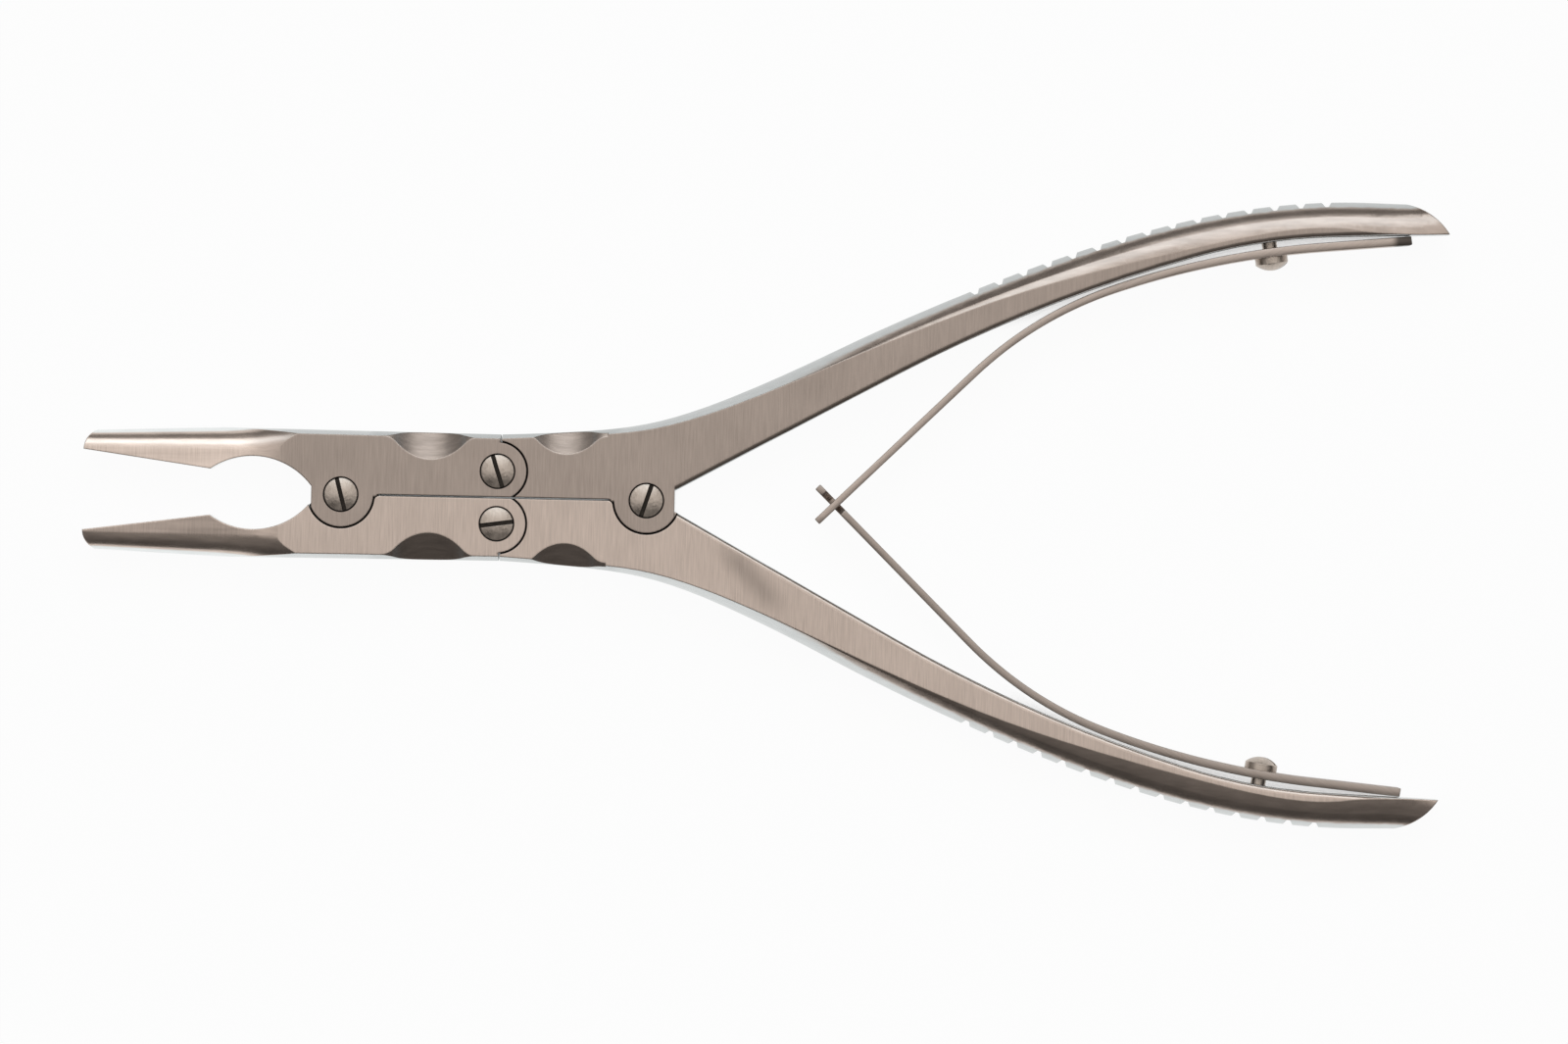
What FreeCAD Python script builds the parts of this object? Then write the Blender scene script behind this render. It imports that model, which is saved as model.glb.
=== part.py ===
import FreeCAD, Part
import Sketcher
import math
import os

from FreeCAD import Placement, Rotation, Vector

# Double action bone rongeur, lying on its side and fully open.
# X runs along the tool with the jaws at minus X, Y across it, Z up through the joint plates.
# The origin is on the axis of the handle pivot, at the underside of the plates.

doc = FreeCAD.newDocument("bone_rongeur")

# Driving sizes, in millimetres and degrees.
SIZES = [
    ("plate_thickness", 8.0, "joint plates from side face to side face"),
    ("seam_gap", 0.16, "gap between the two halves along the middle and round the bosses"),
    ("lap_gap", 0.06, "gap between the halved faces of a lap joint"),
    ("handle_link_reach", 20.0, "handle pivot to link pivot"),
    ("jaw_link_reach", 20.89, "jaw pivot to link pivot"),
    ("link_offset", 3.46, "link pivots from the middle line when the tool is open"),
    ("boss_radius", 4.3, "round bosses of the jaw pivot and the handle pivot"),
    ("boss_fillet", 1.0, "fillet between a boss and the middle line"),
    ("jaw_boss_flat", 3.9, "flat on the front of the jaw pivot boss, from its axis"),
    ("handle_boss_flat", 3.7, "flat on the rear of the handle pivot boss, from its axis"),
    ("link_boss_radius", 3.84, "round ends of the levers at the link pivots"),
    ("link_shoulder", 0.4, "seam of jaw and handle at the outer edge, behind the link pivot"),
    ("plate_half_width", 8.35, "middle line to the crest of a jaw plate"),
    ("jaw_length", 34.1, "jaw pivot to the tip, along the tool"),
    ("jaw_tip_offset", 5.31, "cutting edge at the tip, from the middle line"),
    ("jaw_heel_length", 17.3, "jaw pivot to the heel of the cutting edge"),
    ("jaw_heel_offset", 3.04, "cutting edge at its heel, from the middle line"),
    ("relief_radius", 9.8, "oval relief behind the cutting edge"),
    ("relief_foot", 1.0, "relief where it meets the boss, from the middle line"),
    ("nose_radius", 2.8, "rounded tip of a jaw, seen from the side face"),
    ("spoon_crest", 8.5, "crest of a jaw at its spoon, from the middle line"),
    ("spoon_start", 16.7, "jaw pivot to the start of the full spoon"),
    ("spoon_half_width", 2.9, "half the width of a spoon"),
    ("nose_half_width", 2.2, "half the width of a jaw at its tip"),
    ("spoon_flare_radius", 48.0, "hollow flare from a spoon to its plate"),
    ("spoon_flare_turn", 18.0, "turn of that flare"),
    ("jaw_crest_tilt", 0.3, "slope of the crest of a jaw, rising towards its spoon"),
    ("cup_wall", 0.4, "wall of the hollow cup beside the cutting edge"),
    ("cup_margin", 0.7, "cutting edge beyond each end of the cup"),
    ("joint_crown_radius", 14.0, "outer edge of the joint plates, across the plate"),
    ("joint_crown_angle", 17.0, "how far that crown wraps round"),
    ("joint_overhang", 0.6, "crown of the joint beyond the side faces before they are cut"),
    ("arm_crown_radius", 5.5, "outer edge of the handle arm, across the arm"),
    ("arm_crown_angle", 44.0, "how far that crown wraps round"),
    ("arm_overhang", 0.15, "crown of the arm beyond the side faces before they are cut"),
    ("grip_crown_radius", 3.9, "palm side of the grip, across the grip"),
    ("grip_crown_angle", 61.0, "how far the palm side wraps round before its flank"),
    ("grip_overhang", 0.1, "crown of the grip beyond the side faces before they are cut"),
    ("end_half_width", 2.6, "half the width of a handle at its very end"),
    ("crown_reach", 16.0, "how far inwards a crown section is drawn"),
    ("plan_clearance", 11.35, "how far the plan outline of a lever is drawn clear of its crest"),
    ("overlap", 1.0, "how far shapes reach past what they cut or cross"),
    ("waist_angle", 3.5, "flare of the handle plate behind the link pivot"),
    ("waist_length", 11.3, "length of that flare"),
    ("throat_radius", 50.0, "outer bend from the plate to the arm"),
    ("throat_turn", 18.0, "turn of that bend"),
    ("arm_radius", 170.0, "slow outer bend at the root of the arm"),
    ("arm_turn", 5.0, "turn of that bend"),
    ("arm_straight", 6.9, "straight stretch of the arm"),
    ("palm_radius", 260.0, "slow bend of the palm side back towards the middle"),
    ("palm_turn", 9.0, "turn of that bend"),
    ("grip_radius", 98.0, "bend of the grip itself"),
    ("grip_turn", 16.2, "turn of that bend"),
    ("grip_tail", 14.5, "straight run of the palm side at its end"),
    ("crotch_reach", 1.2, "handle pivot to where the inner edges would meet"),
    ("inner_angle", 28.7, "inner edge of an arm from the middle line"),
    ("inner_straight", 36.25, "straight stretch of the inner edge"),
    ("inner_palm_radius", 200.0, "first inner bend of the grip"),
    ("inner_palm_turn", 12.0, "turn of that bend"),
    ("inner_grip_radius", 75.0, "second inner bend of the grip"),
    ("inner_grip_turn", 14.2, "turn of that bend"),
    ("inner_tail", 24.0, "straight run of the inner edge at its end"),
    ("inner_round", 0.65, "rounding of the inner edges of the handles"),
    ("end_radius", 8.8, "rounded upper side of the pointed handle end"),
    ("end_reach", 105.7, "handle pivot to the very end of a handle"),
    ("end_centre_offset", 32.6, "centre of that rounding, from the middle line"),
    ("end_centre_setback", 7.92, "centre of that rounding, from the very end"),
    ("end_drop", 2.2, "foot of that rounding, from its centre towards the middle line"),
    ("jaw_flute_reach", 11.7, "jaw pivot to the middle of its flutes"),
    ("jaw_flute_half_length", 6.25, "half the length of a jaw flute"),
    ("jaw_flute_depth", 2.1, "depth of a jaw flute, square to the corner"),
    ("handle_flute_reach", 10.7, "handle pivot to the middle of its flutes"),
    ("handle_flute_half_length", 5.5, "half the length of a handle flute"),
    ("handle_flute_depth", 1.75, "depth of a handle flute, square to the corner"),
    ("flute_shoulder_radius", 3.0, "rounded run out at each end of a flute"),
    ("flute_angle", 45.0, "slope of the flutes across the corner"),
    ("flute_lift", 5.0, "how far a flute is cut clear above the corner"),
    ("corner_inset", 0.55, "crest to the edge of the side face at the joint"),
    ("groove_count", 15, "cross grooves on the palm side of a grip"),
    ("groove_pitch", 3.44, "from groove to groove along the palm side"),
    ("groove_start", 17.3, "straight end of the arm to the first groove"),
    ("groove_depth", 0.6, "depth of a groove at the crest"),
    ("groove_width", 1.3, "width of a groove at the crest"),
    ("groove_floor", 0.5, "width of a groove at its floor"),
    ("head_radius", 2.175, "heads of the pivot screws"),
    ("head_height", 1.4, "straight side of a pivot screw head"),
    ("dome_height", 0.4, "dome of a pivot screw head above its straight side"),
    ("journal_radius", 1.6, "plain bearing part of a pivot screw"),
    ("thread_radius", 1.25, "threaded end of a pivot screw"),
    ("screw_clearance", 0.05, "radial clearance of every screw in its hole"),
    ("screw_recess", 0.12, "end of a pivot screw above the underside"),
    ("slot_width", 0.55, "screwdriver slots"),
    ("slot_depth", 0.8, "screwdriver slots, from the top of the dome"),
    ("jaw_slot_turn", 105.0, "slot of the jaw pivot screw"),
    ("upper_link_slot_turn", 108.0, "slot of the upper link screw"),
    ("lower_link_slot_turn", 8.0, "slot of the lower link screw"),
    ("handle_slot_turn", 72.0, "slot of the handle pivot screw"),
    ("upper_spring_slot_turn", 20.0, "slot of the upper spring screw"),
    ("lower_spring_slot_turn", -35.0, "slot of the lower spring screw"),
    ("spring_cross_reach", 24.9, "handle pivot to where the two springs cross"),
    ("spring_cross_angle", 44.5, "spring from the middle line where they cross"),
    ("spring_overrun", 3.3, "spring end beyond the crossing"),
    ("spring_straight", 25.4, "straight stretch of a spring from the crossing"),
    ("spring_bend_radius", 50.0, "first bend of a spring"),
    ("spring_bend_turn", 24.5, "turn of that bend"),
    ("spring_sweep_radius", 110.0, "long sweep of a spring along the handle"),
    ("spring_sweep_turn", 14.6, "turn of that sweep"),
    ("spring_tail", 9.6, "straight end of a spring along the handle"),
    ("spring_foot_radius", 6.0, "bend of a spring's foot towards the handle"),
    ("spring_foot_turn", 11.0, "turn of that bend"),
    ("spring_thickness", 1.0, "thickness of a spring leaf"),
    ("spring_root_width", 6.0, "width of a spring at the handle"),
    ("spring_tip_width", 4.2, "width of a spring at its tip"),
    ("spring_window_length", 2.0, "window of the upper spring, along the leaf"),
    ("spring_window_width", 2.2, "window of the upper spring, across the leaf"),
    ("spring_neck_length", 2.4, "neck of the lower spring, along the leaf"),
    ("spring_neck_width", 1.6, "neck of the lower spring, across the leaf"),
    ("spring_screw_reach", 81.5, "handle pivot to a spring screw"),
    ("spring_screw_head_radius", 2.15, "head of a spring screw"),
    ("spring_screw_head_height", 0.9, "straight side of a spring screw head"),
    ("spring_screw_dome", 0.9, "dome of a spring screw head"),
    ("spring_screw_radius", 1.0, "shank of a spring screw"),
    ("spring_screw_bite", 2.6, "shank of a spring screw within the handle"),
]

sheet = doc.addObject("Spreadsheet::Sheet", "Sizes")
places = doc.addObject("Spreadsheet::Sheet", "Places")
for row, (name, number, meaning) in enumerate(SIZES, start=1):
    sheet.set(f"A{row}", name)
    sheet.set(f"B{row}", str(number))
    sheet.setAlias(f"B{row}", name)
    sheet.set(f"C{row}", meaning)
doc.recompute()


def size(name):
    return float(sheet.get(name))


place_names = {}


def place(name, number):
    """Keep a worked-out number in the sheet of places and give back the name of its cell."""
    if name not in place_names:
        row = len(place_names) + 1
        place_names[name] = row
        places.set(f"A{row}", name)
        places.set(f"B{row}", repr(round(float(number), 6)))
        places.setAlias(f"B{row}", name)
    return "Places." + name


def sin(degrees):
    return math.sin(math.radians(degrees))


def cos(degrees):
    return math.cos(math.radians(degrees))


# The pivots of the open tool: D behind, B and C in the middle, A in front.
HALF_SEAM = size("seam_gap") / 2
MID_HEIGHT = size("plate_thickness") / 2
LINK_X = -math.sqrt(size("handle_link_reach") ** 2 - size("link_offset") ** 2)
JAW_X = LINK_X - math.sqrt(size("jaw_link_reach") ** 2 - size("link_offset") ** 2)
LINK_Y = size("link_offset")
UPPER, LOWER = 1, -1


# Drawing helpers. A corner is (x, y, radius): the radius is that of the arc that leaves the corner,
# positive where it turns left, and 0 for a straight line.

def plane_of(body, role):
    return [item for item in body.Origin.OriginFeatures if item.Role == role][0]


def new_sketch(body, name, role="XY_Plane", base=(0, 0, 0), turn=None):
    sketch = body.newObject("Sketcher::SketchObject", name)
    sketch.AttachmentSupport = [(plane_of(body, role), "")]
    sketch.MapMode = "FlatFace"
    sketch.AttachmentOffset = Placement(Vector(*base), turn or Rotation())
    for axis, number in zip("xyz", base):
        if number:
            cell = place(f"{name}_base_{axis}", number)
            sketch.setExpression(f".AttachmentOffset.Base.{axis}", cell)
    return sketch


def arc_centre(start, end, radius):
    along = end - start
    left = Vector(-along.y, along.x, 0).normalize()
    rise = math.sqrt(radius ** 2 - (along.Length / 2) ** 2)
    return (start + end) / 2 + left * math.copysign(rise, radius)


def draw_outline(sketch, corners, side=UPPER):
    """Draw a closed outline of lines and arcs, each corner and radius bound to the sheet."""
    points = [Vector(x, side * y, 0) for x, y, radius in corners]
    radii = [side * radius for x, y, radius in corners]
    ends = []
    for index, (start, radius) in enumerate(zip(points, radii)):
        end = points[(index + 1) % len(points)]
        if radius == 0:
            piece = sketch.addGeometry(Part.LineSegment(start, end))
            ends.append((piece, 1, 2))
            continue
        centre = arc_centre(start, end, radius)
        circle = Part.Circle(centre, Vector(0, 0, 1), abs(radius))
        first, last = (start, end) if radius > 0 else (end, start)
        angle = math.atan2(first.y - centre.y, first.x - centre.x)
        sweep = math.atan2(last.y - centre.y, last.x - centre.x) - angle
        arc = Part.ArcOfCircle(circle, angle, angle + sweep % (2 * math.pi))
        piece = sketch.addGeometry(arc)
        ends.append((piece, 1, 2) if radius > 0 else (piece, 2, 1))
        bound = sketch.addConstraint(Sketcher.Constraint("Radius", piece, abs(radius)))
        sketch.setExpression(f"Constraints[{bound}]", place(f"{sketch.Name}_{index}_radius", abs(radius)))
    for index, (piece, start, end) in enumerate(ends):
        following, following_start, following_end = ends[(index + 1) % len(ends)]
        sketch.addConstraint(Sketcher.Constraint("Coincident", piece, end, following, following_start))
        for letter, kind in (("x", "DistanceX"), ("y", "DistanceY")):
            number = getattr(points[index], letter)
            bound = sketch.addConstraint(Sketcher.Constraint(kind, -1, 1, piece, start, number))
            cell = place(f"{sketch.Name}_{index}_{letter}", number)
            sketch.setExpression(f"Constraints[{bound}]", cell)


def draw_circle(sketch, centre, radius_cell):
    circle = sketch.addGeometry(Part.Circle(Vector(*centre, 0), Vector(0, 0, 1), 1.0))
    bound = sketch.addConstraint(Sketcher.Constraint("Radius", circle, 1.0))
    sketch.setExpression(f"Constraints[{bound}]", radius_cell)
    for letter, kind, number in zip("xy", ("DistanceX", "DistanceY"), centre):
        bound = sketch.addConstraint(Sketcher.Constraint(kind, -1, 1, circle, 3, number))
        cell = place(f"{sketch.Name}_centre_{letter}", number)
        sketch.setExpression(f"Constraints[{bound}]", cell)


def settle(*items):
    """Work out single items early, for a feature that reads their shape."""
    for item in (places,) + items:
        item.recompute()


def add_pad(body, sketch, length, middle=False):
    pad = body.newObject("PartDesign::Pad", sketch.Name + "_pad")
    pad.Profile = sketch
    pad.SideType = "Symmetric" if middle else "One side"
    pad.setExpression("Length", length)
    return pad


def add_pocket(body, sketch, length, upward=False, middle=False):
    pocket = body.newObject("PartDesign::Pocket", sketch.Name + "_cut")
    pocket.Profile = sketch
    pocket.SideType = "Symmetric" if middle else "One side"
    pocket.Reversed = upward
    pocket.setExpression("Length", length)
    return pocket


# Paths in plan: legs of (length, 0) for a straight or (radius, turn) for a bend, turning left if positive.

def walk(x, y, heading, legs):
    """Follow the legs and give the stations between them as (x, y, heading)."""
    stations = [(x, y, heading)]
    for reach, turn in legs:
        if turn == 0:
            x += reach * cos(heading)
            y += reach * sin(heading)
        else:
            bend = math.copysign(reach, turn)
            x += bend * (sin(heading + turn) - sin(heading))
            y -= bend * (cos(heading + turn) - cos(heading))
            heading += turn
        stations.append((x, y, heading))
    return stations


def split_legs(legs, parts):
    """Cut each bend into equal parts, so that a loft follows it."""
    pieces = []
    for reach, turn in legs:
        pieces += [(reach, turn / parts)] * parts if turn else [(reach, 0)]
    return pieces


def path_corners(x, y, heading, legs, offset=0.0):
    """Corners along a path moved to its left by the offset, for draw_outline."""
    corners = []
    stations = walk(x, y, heading, legs)
    for index, (x, y, heading) in enumerate(stations):
        radius = 0
        if index < len(legs) and legs[index][1]:
            reach, turn = legs[index]
            radius = math.copysign(reach, turn) - offset
        corners.append((x - offset * sin(heading), y + offset * cos(heading), radius))
    return corners


def point_along(x, y, heading, legs, distance):
    """The place and heading at a distance along a path."""
    for reach, turn in legs:
        length = math.radians(abs(turn)) * reach if turn else reach
        if distance <= length:
            share = distance / length
            leg = (reach, turn * share) if turn else (reach * share, 0)
            return walk(x, y, heading, [leg])[-1]
        distance -= length
        x, y, heading = walk(x, y, heading, [(reach, turn)])[-1]
    return walk(x, y, heading, [(distance, 0)])[-1]


# Crown sections: a D lying across the lever, with its round side outwards. Each is given by the
# radius of its back, the angle that this radius wraps round, and half the width of the section.

JOINT = (size("joint_crown_radius"), size("joint_crown_angle"), MID_HEIGHT + size("joint_overhang"))
ARM = (size("arm_crown_radius"), size("arm_crown_angle"), MID_HEIGHT + size("arm_overhang"))
GRIP = (size("grip_crown_radius"), size("grip_crown_angle"), MID_HEIGHT + size("grip_overhang"))


def between(first, second, share):
    """A section part of the way from one to another, with the curvature in proportion."""
    curve = (1 - share) / first[0] + share / second[0]
    angle, half = [(1 - share) * a + share * b for a, b in zip(first[1:], second[1:])]
    return 1 / curve, angle, half


def draw_section(body, name, station, side):
    """Draw a crown section across a lever. A station is (x, y, heading, section)."""
    x, y, heading, (back, angle, half) = station
    flank = (half - back * sin(angle)) / (1 - sin(angle))
    shoulder = -back * (1 - cos(angle))
    flat = shoulder - flank * cos(angle)
    inside = -size("crown_reach")
    corners = [(shoulder, back * sin(angle), -back), (shoulder, -back * sin(angle), -flank),
               (flat, -half, 0), (inside, -half, 0), (inside, half, 0), (flat, half, -flank)]
    if side == LOWER:
        corners = [(-u, v, -radius) for u, v, radius in corners]
    sketch = new_sketch(body, name, "YZ_Plane", (side * y, MID_HEIGHT, x),
                        Rotation(Vector(0, 1, 0), side * heading))
    draw_outline(sketch, corners)
    return sketch


def add_crown(body, stations, side):
    """Loft crown sections along a lever."""
    sketches = [draw_section(body, f"{body.Name}_{index}", station, side)
                for index, station in enumerate(stations)]
    loft = body.newObject("PartDesign::AdditiveLoft", body.Name + "_loft")
    loft.Profile = sketches[0]
    loft.Sections = sketches[1:]
    return loft


# Lap joints. A boss fills its own half of the plate, and is recessed out of the other half.

def fillet_place(radius, fillet, line):
    """Where a fillet meets a line and a boss, for a boss on the middle of the tool."""
    x = math.sqrt((radius + fillet) ** 2 - (line - fillet) ** 2)
    scale = radius / (radius + fillet)
    return x, x * scale, (line - fillet) * scale


def recess_corners(centre_x, toward):
    """A main boss of the other lever, grown by the seam. toward is the side of its fillet."""
    radius = size("boss_radius") + size("seam_gap")
    fillet = size("boss_fillet") - size("seam_gap")
    x, touch_x, touch_y = fillet_place(radius, fillet, -HALF_SEAM)
    corners = [(x, HALF_SEAM, -fillet), (touch_x, -touch_y, radius), (-radius, 0, 0),
               (-radius, -radius, 0), (x, -radius, 0)]
    return [(centre_x + toward * u, v, toward * bend) for u, v, bend in corners]


def add_lap(body, name, on_top, side, corners=None, centre=None):
    """Recess the half of the plate that the mating boss fills, then bore this lever's own boss."""
    bottom = 0 if on_top else size("plate_thickness")
    sketch = new_sketch(body, name + "_recess", base=(0, 0, bottom))
    if corners:
        draw_outline(sketch, corners, side)
    else:
        draw_circle(sketch, centre, "Sizes.link_boss_radius + Sizes.seam_gap")
    add_pocket(body, sketch, "(Sizes.plate_thickness + Sizes.lap_gap) / 2", upward=on_top)


def add_bores(body, name, on_top, centre):
    """Bore a boss for its screw: a seat and a journal in an upper boss, a thread in a lower one."""
    top = size("plate_thickness")
    bore = new_sketch(body, name + "_bore", base=(0, 0, top))
    radius = "Sizes.journal_radius" if on_top else "Sizes.thread_radius"
    draw_circle(bore, centre, radius + " + Sizes.screw_clearance")
    add_pocket(body, bore, "Sizes.plate_thickness + Sizes.seam_gap")
    if on_top:
        seat = new_sketch(body, name + "_seat", base=(0, 0, top))
        draw_circle(seat, centre, "Sizes.head_radius + Sizes.screw_clearance")
        add_pocket(body, seat, "Sizes.head_height + Sizes.screw_clearance")


def add_flutes(body, name, x, y, half_length, depth, side):
    """Hollow both outer corners of a plate with a concave flute."""
    shoulder = size("flute_shoulder_radius")
    hollow = (half_length ** 2 + depth ** 2) / (2 * depth) - shoulder
    share = shoulder / (shoulder + hollow)
    meet_x = half_length * (1 - share)
    meet_y = -shoulder + (hollow - depth + shoulder) * share
    lift = size("flute_lift")
    corners = [(x - half_length, 0, -shoulder), (x - meet_x, meet_y, hollow),
               (x + meet_x, meet_y, -shoulder), (x + half_length, 0, 0),
               (x + half_length, lift, 0), (x - half_length, lift, 0)]
    for face, height in ((1, size("plate_thickness")), (-1, 0.0)):
        tilt = face * (90 - side * size("flute_angle"))
        sketch = new_sketch(body, f"{name}_{'top' if face == 1 else 'bottom'}", "XY_Plane",
                            (0, side * y, height), Rotation(Vector(1, 0, 0), tilt))
        draw_outline(sketch, corners)
        add_pocket(body, sketch, "4 * Sizes.plate_thickness", middle=True)


def link_end(shoulder_x, toward):
    """Corners round a link end, from the outer edge to the middle line. toward is its round side."""
    radius = size("link_boss_radius")
    reach = shoulder_x - LINK_X
    half_flat = math.sqrt(radius ** 2 - (LINK_Y - HALF_SEAM) ** 2)
    rise = LINK_Y + math.sqrt(radius ** 2 - reach ** 2)
    return [(shoulder_x, rise, -toward * radius), (LINK_X + toward * half_flat, HALF_SEAM, 0)]


def boss_end(centre_x, toward, flat, foot):
    """Corners round a main boss, from the middle line to the foot of the flat across its far side."""
    radius = size("boss_radius")
    x, touch_x, touch_y = fillet_place(radius, size("boss_fillet"), HALF_SEAM)
    flat_y = -math.sqrt(radius ** 2 - flat ** 2)
    return [(centre_x + toward * x, HALF_SEAM, toward * size("boss_fillet")),
            (centre_x + toward * touch_x, touch_y, -toward * radius),
            (centre_x - toward * flat, flat_y, 0),
            (centre_x - toward * flat, foot, 0)]


def crossed(name, kind, base, tool):
    """Join two shapes with a boolean, by its kind."""
    result = doc.addObject("Part::" + kind, name)
    result.Base = base
    result.Tool = tool
    result.Refine = True
    return result


# Jaws

SEAM_X = LINK_X + size("link_shoulder")
CLEAR_Y = size("plan_clearance")
TIP_X = JAW_X - size("jaw_length")
SPOON_AXIS_Y = size("spoon_crest") - size("spoon_half_width")
JOINT_EDGE_Y = size("plate_half_width") - size("corner_inset")


def jaw_corners():
    heel_x = JAW_X - size("jaw_heel_length")
    nose = size("nose_radius")
    nose_top = size("jaw_tip_offset") + nose
    seam_x = SEAM_X - HALF_SEAM
    corners = [(seam_x, CLEAR_Y, 0)]
    corners += link_end(seam_x, 1)
    corners += boss_end(JAW_X, 1, size("jaw_boss_flat"), size("relief_foot"))
    corners[-1] = corners[-1][:2] + (size("relief_radius"),)
    corners += [(heel_x, size("jaw_heel_offset"), 0), (TIP_X, size("jaw_tip_offset"), -nose),
                (TIP_X + nose, nose_top, 0), (TIP_X + nose, CLEAR_Y, 0)]
    return corners


def add_spoon(body, side):
    """Turn the back of a spoon about its axis, and draw its flanks straight on towards the middle."""
    nose, spoon = size("nose_half_width"), size("spoon_half_width")
    spoon_x = JAW_X - size("spoon_start")
    taper = math.atan2(spoon - nose, spoon_x - TIP_X)
    run = (spoon_x - TIP_X + size("overlap")) / math.cos(taper)
    start = (spoon_x - run * math.cos(taper), spoon - run * math.sin(taper), math.degrees(taper))
    legs = [(run, 0), (size("spoon_flare_radius"), size("spoon_flare_turn"))]
    edge = path_corners(*start, legs)
    end_x, end_half = LINK_X + size("link_boss_radius") + size("overlap"), edge[-1][1]
    edge.append((end_x, end_half, 0))
    base = (0, MID_HEIGHT, -side * SPOON_AXIS_Y)

    half = new_sketch(body, body.Name + "_half", "XZ_Plane", base)
    draw_outline(half, edge + [(end_x, 0, 0), (start[0], 0, 0)])
    turned = body.newObject("PartDesign::Revolution", body.Name + "_turned")
    turned.Profile = half
    turned.ReferenceAxis = (half, ["H_Axis"])
    turned.Angle = 180
    turned.Reversed = side == UPPER

    back = []
    for index in range(len(edge) - 1, -1, -1):
        x, width, radius = edge[index]
        back.append((x, -width, edge[index - 1][2] if index else 0))
    flanks = new_sketch(body, body.Name + "_flanks", "XZ_Plane", base)
    draw_outline(flanks, edge + back)
    pad = add_pad(body, flanks, "Sizes.crown_reach")
    pad.Reversed = side == LOWER


def add_crest(body, side):
    """Draw the crown of the joint straight along a jaw, from past its tip to past its link end."""
    x, tilt = TIP_X - size("overlap"), size("jaw_crest_tilt")
    y = size("plate_half_width") + (SEAM_X - x) * math.tan(math.radians(tilt))
    section = draw_section(body, body.Name + "_section", (x, y, -tilt, JOINT), side)
    end_x = LINK_X + size("link_boss_radius") + size("overlap")
    add_pad(body, section, place(body.Name + "_length", end_x - x))


def make_cup(name, side):
    """A bent round bar that scoops the hollow of a jaw along its cutting edge."""
    heel = Vector(JAW_X - size("jaw_heel_length"), side * size("jaw_heel_offset"), MID_HEIGHT)
    tip = Vector(TIP_X, side * size("jaw_tip_offset"), MID_HEIGHT)
    edge = (tip - heel).normalize()
    half_length = heel.distanceToPoint(tip) / 2 - size("cup_margin")
    half_width = (size("spoon_half_width") + size("nose_half_width")) / 2 - size("cup_wall")
    bend = (half_length ** 2 + half_width ** 2) / (2 * half_width)
    bar = doc.addObject("Part::Torus", name)
    bar.setExpression("Radius1", place(name + "_bend", bend))
    bar.setExpression("Radius2", place(name + "_half_width", half_width))
    outwards = Vector(-edge.y, edge.x, 0) * side
    bar.Placement = Placement((heel + tip) / 2 + outwards * bend, Rotation())
    return bar


def make_jaw(name, side, boss_on_top):
    plan = doc.addObject("PartDesign::Body", name + "_plan")
    outline = new_sketch(plan, name + "_outline")
    draw_outline(outline, jaw_corners(), side)
    add_pad(plan, outline, "Sizes.plate_thickness")
    link = (LINK_X, side * LINK_Y)
    add_lap(plan, name + "_boss", boss_on_top, side, corners=recess_corners(JAW_X, 1))
    add_lap(plan, name + "_link", True, side, centre=link)
    add_bores(plan, name + "_boss", boss_on_top, (JAW_X, 0))
    add_bores(plan, name + "_link", True, link)
    add_flutes(plan, name + "_flute", JAW_X + size("jaw_flute_reach"), JOINT_EDGE_Y,
               size("jaw_flute_half_length"), size("jaw_flute_depth"), side)

    spoon = doc.addObject("PartDesign::Body", name + "_spoon")
    add_spoon(spoon, side)
    crest = doc.addObject("PartDesign::Body", name + "_crest")
    add_crest(crest, side)
    crown = crossed(name + "_crown", "Common", spoon, crest)
    blank = crossed(name + "_blank", "Common", plan, crown)
    return crossed(name, "Cut", blank, make_cup(name + "_cup", side))


# Handles

CREST_START = (SEAM_X, size("plate_half_width"), size("waist_angle"))
CREST_LEGS = [(size("waist_length"), 0), (size("throat_radius"), size("throat_turn")),
              (size("arm_radius"), size("arm_turn")), (size("arm_straight"), 0),
              (size("palm_radius"), -size("palm_turn")), (size("grip_radius"), -size("grip_turn")),
              (size("grip_tail"), 0)]
FLUTE_RISE = (SEAM_X + size("handle_flute_reach")) * -math.tan(math.radians(size("waist_angle")))
INNER_START = (size("crotch_reach"), 0.0, size("inner_angle"))
INNER_LEGS = [(size("inner_straight"), 0), (size("inner_palm_radius"), -size("inner_palm_turn")),
              (size("inner_grip_radius"), -size("inner_grip_turn")), (size("inner_tail"), 0)]


def handle_corners():
    seam_x = SEAM_X + HALF_SEAM
    flat_x = size("handle_boss_flat")
    foot = (flat_x - size("crotch_reach")) * math.tan(math.radians(size("inner_angle")))
    clear = size("plan_clearance")
    front = [(seam_x, clear, 0)]
    front += link_end(seam_x, -1)
    front += boss_end(0, -1, flat_x, foot)
    inner = path_corners(*INNER_START, INNER_LEGS)[1:]
    x, y, radius = inner[-1]
    back = [(x, y + clear, 0), (x - size("inner_tail"), y + clear, 0)]
    arm_x, arm_y, arm_radius = inner[0]
    outer = [(arm_x, arm_y + clear + size("plate_half_width"), 0)]
    return front + inner + back + outer


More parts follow.
